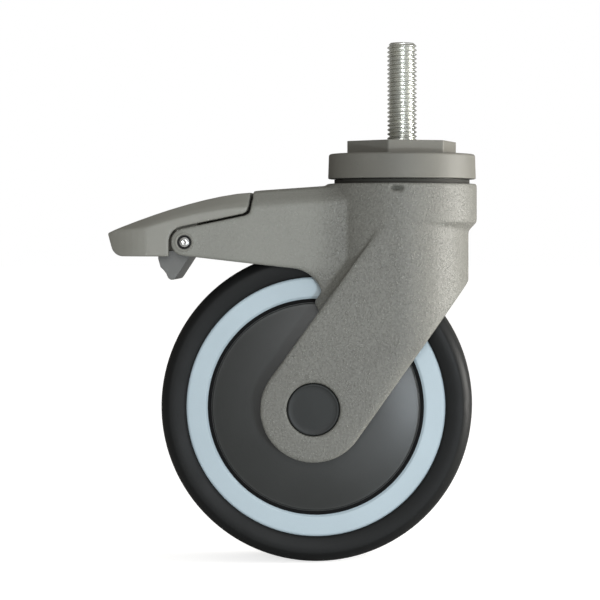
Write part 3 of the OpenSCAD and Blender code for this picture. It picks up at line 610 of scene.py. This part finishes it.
def make_stem():
    """The stem with its real thread above the turned plate and kingpin."""
    shape = bmesh.new()
    shape.from_mesh(merged_copy("threaded_stem"))
    cut = bmesh.ops.bisect_plane(
        shape, geom=shape.verts[:] + shape.edges[:] + shape.faces[:],
        plane_co=(0, 0, CORE_TOP), plane_no=(0, 0, 1), clear_outer=True)
    rim = [e for e in cut["geom_cut"] if isinstance(e, bmesh.types.BMEdge)]
    bmesh.ops.holes_fill(shape, edges=rim, sides=0)
    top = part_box("threaded_stem")[1].z
    shape.from_mesh(from_tree(
        rod_tree(), (0, 0, ROD_FOOT), Radius=STEM_RADIUS, Length=top - ROD_FOOT,
        Pitch=THREAD_PITCH, Depth=THREAD_DEPTH, Tip=STEM_CHAMFER, Runout=THREAD_RUNOUT,
        Material=ZINC))
    mesh = to_mesh(shape, "stem")
    mesh.shade_smooth()
    new_piece("threaded_stud", mesh, MOUNT, "zinc_steel", ZINC, "threaded_stem")


RIVET_DOME = 4.15 * MM
RIVET_STEPS = 64


def make_rivet():
    """The rivet, dimpled at both domed ends, each ringed by a black ring of painted shade in the
    gap of its counterbore, with a lip round it.
    """
    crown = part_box("pedal_pin")[1].y
    shank = round_radius("pedal_pin")
    end = section(0, crown, (0, -0.28), (0.55, -0.24), (0.8, -0.10))
    for r in (1.0 * MM, 1.3 * MM, 1.6 * MM, 1.85 * MM, 2.05 * MM):
        end.append((r, crown - RIVET_DOME + math.sqrt(RIVET_DOME ** 2 - r ** 2)))
    end += section(shank, crown, (0, -1.2))
    profile = end + [(r, -out) for r, out in reversed(end)]
    rivet = turned("rivet", profile, PIN, 1, RIVET_STEPS)
    new_piece("pedal_rivet", rivet, FORK, "bright_pin", RIVET_STEEL, "pedal_pin")
    shaded_gap = section(shank, crown, (-0.3, -0.9), (-0.3, -0.32), (0.4, -0.22), (0.4, -0.9))
    lip = section(
        shank, crown, (0.3, -0.9), (0.3, -0.25), (0.85, 0.3), (1.0, 0.3), (1.3, -0.1), (1.3, -0.9))
    for name, side in SIDES:
        # Painted shade: a black ring fills the gap round each rivet end
        hole = turned("sinking_" + name, shaded_gap, PIN, side, RIVET_STEPS)
        new_piece("rivet_sinking_" + name, hole, FORK, "seal_rubber", GAP_SHADE_BLACK)
        rim = turned("lip_" + name, lip, PIN, side, RIVET_STEPS)
        new_piece("ear_lip_" + name, rim, FORK, "fork_plastic", PEDAL_GREY)


SPRING_WIRE = 1.0 * MM
SPRING_TURNS = 8.0


def coil_tree():
    """A coil spring from z = 0 up, with closed turns at both ends."""
    geo = GeoTree("coil", "Radius", "Height", "Turns", "Wire")
    radius, height, turns, wire = geo.given
    line = geo.node("GeometryNodeCurvePrimitiveLine", {}, {"End": (0.0, 0.0, 1.0)})
    fine = geo.node("GeometryNodeResampleCurve", {}, {"Curve": line, "Count": 400})
    along = geo.node("GeometryNodeSplineParameter", {}, {}, "Factor")
    angle = along * turns * (2 * math.pi)
    across = geo.maths("COSINE", angle) * radius
    deep = geo.maths("SINE", angle) * radius
    place = geo.vector(across, deep, geo.between(along, 0.0, 1.0) * height)
    coil = geo.node("GeometryNodeSetPosition", {}, {"Geometry": fine, "Position": place})
    size = {"Resolution": 14, "Radius": wire * 0.5}
    ring = geo.node("GeometryNodeCurvePrimitiveCircle", {"mode": "RADIUS"}, size)
    inputs = {"Curve": coil, "Profile Curve": ring, "Fill Caps": True}
    return geo.close(geo.node("GeometryNodeCurveToMesh", {}, inputs))


def make_spring():
    """The return spring, drawn at one length; on the castor it shortens as the lever's back end
    rises.
    """
    low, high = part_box("return_spring")
    at = Vector((middle("return_spring").x, 0.0, low.z + SPRING_WIRE / 2))
    mesh = from_tree(
        coil_tree(), at, Radius=round_radius("return_spring") - SPRING_WIRE / 2,
        Height=high.z - low.z - SPRING_WIRE, Turns=SPRING_TURNS, Wire=SPRING_WIRE,
        Material=SPRING_STEEL)
    mesh.shade_smooth()
    spring = new_piece("coil_spring", mesh, FORK, "spring_steel", SPRING_STEEL, "return_spring")
    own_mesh(spring)


# Studio

FLOOR_Z = CAD_BOX[0].z
FLOOR_HALF = 6.0
FLOOR_GLOW = 0.72
WHITE = (1.0, 1.0, 1.0, 1.0)


def make_floor():
    """A wide pale floor that shows white to the camera, apart from the object's shadow."""
    p = Paint("pale_floor")
    p.set(Base_Color=(0.8, 0.8, 0.8, 1.0), Roughness=0.9, Specular_IOR_Level=0.1,
          Emission_Color=WHITE, Emission_Strength=p.seen() * FLOOR_GLOW)
    corners = [(-1, -1), (1, -1), (1, 1), (-1, 1)]
    mesh = bpy.data.meshes.new("floor")
    places = [(x * FLOOR_HALF, y * FLOOR_HALF, FLOOR_Z) for x, y in corners]
    mesh.from_pydata(places, [], [(0, 1, 2, 3)])
    mesh.materials.append(p.material)
    placed("floor", mesh)


# The room's strength on its dark side, and what its light side has more
ROOM_DARK = 0.225
ROOM_LIFT = 0.485


def make_world():
    """White behind the object; to all else a room with a dark left and a light right side."""
    world = bpy.data.worlds.new("studio")
    SCENE.world = world
    world.use_nodes = True
    room = ShaderTree(world.node_tree, "Generated")
    seen = room.seen()
    x, y, _ = room.split(room.place)
    lit = room.between(x * 0.85 - y * 0.55, -0.75, 1.0)
    tint = room.mix(lit, (1.0, 0.95, 0.86, 1.0), (0.98, 0.99, 1.0, 1.0))
    back = room.tree.nodes["Background"].inputs
    room.feed(room.mix(seen, tint, WHITE), back["Color"])
    room.feed(seen + (1 - seen) * (ROOM_DARK + lit * ROOM_LIFT), back["Strength"])


LAMP_AIM = Vector((-0.02, 0, -0.07))
# Each lamp's place, size, watts and tint
LAMPS = {
    "front_light": ((0.12, -1.6, 0.18), (0.6, 0.5), 9.5, (0.97, 0.99, 1.0)),
    "right_light": ((0.95, 0.0, -0.04), (0.3, 0.22), 14.5, (1.0, 0.98, 0.93)),
    "window_light": ((0.17, -0.62, -0.148), (0.07, 0.04), 1.5, (0.84, 0.93, 1.0)),
}


def make_lamps():
    """A broad soft lamp beside the camera, a warm one on the right and a small cool one."""
    for name, (place, size, watts, tint) in LAMPS.items():
        lamp = bpy.data.lights.new(name, "AREA")
        lamp.shape = "RECTANGLE"
        lamp.size, lamp.size_y = size
        lamp.energy = watts
        lamp.color = tint
        holder = placed(name, lamp)
        holder.location = place
        holder.rotation_euler = (LAMP_AIM - Vector(place)).to_track_quat("-Z", "Y").to_euler()


PHOTO_PIXELS = 600.0
FOCAL_PIXELS = 2116.0
AXIS_AT = (466.0, 226.0)
CAMERA_AT = (26 * MM, -860 * MM, -34.3 * MM)


def make_camera():
    """The photograph's view: nearly level, from the right side, with the stem right of centre."""
    eye = bpy.data.cameras.new("camera")
    eye.sensor_width = 36.0
    eye.lens = FOCAL_PIXELS / PHOTO_PIXELS * eye.sensor_width
    eye.shift_x = 0.5 - AXIS_AT[0] / PHOTO_PIXELS
    eye.shift_y = AXIS_AT[1] / PHOTO_PIXELS - 0.5
    eye.clip_start = 0.05
    camera = placed("camera", eye)
    camera.location = CAMERA_AT
    camera.rotation_euler = (math.radians(90), 0, 0)
    SCENE.camera = camera


SCENE.view_settings.view_transform = "Standard"
finish_nodes()
make_mouldings()
make_wheel()
make_stem()
make_rivet()
make_spring()
make_floor()
make_world()
make_lamps()
make_camera()
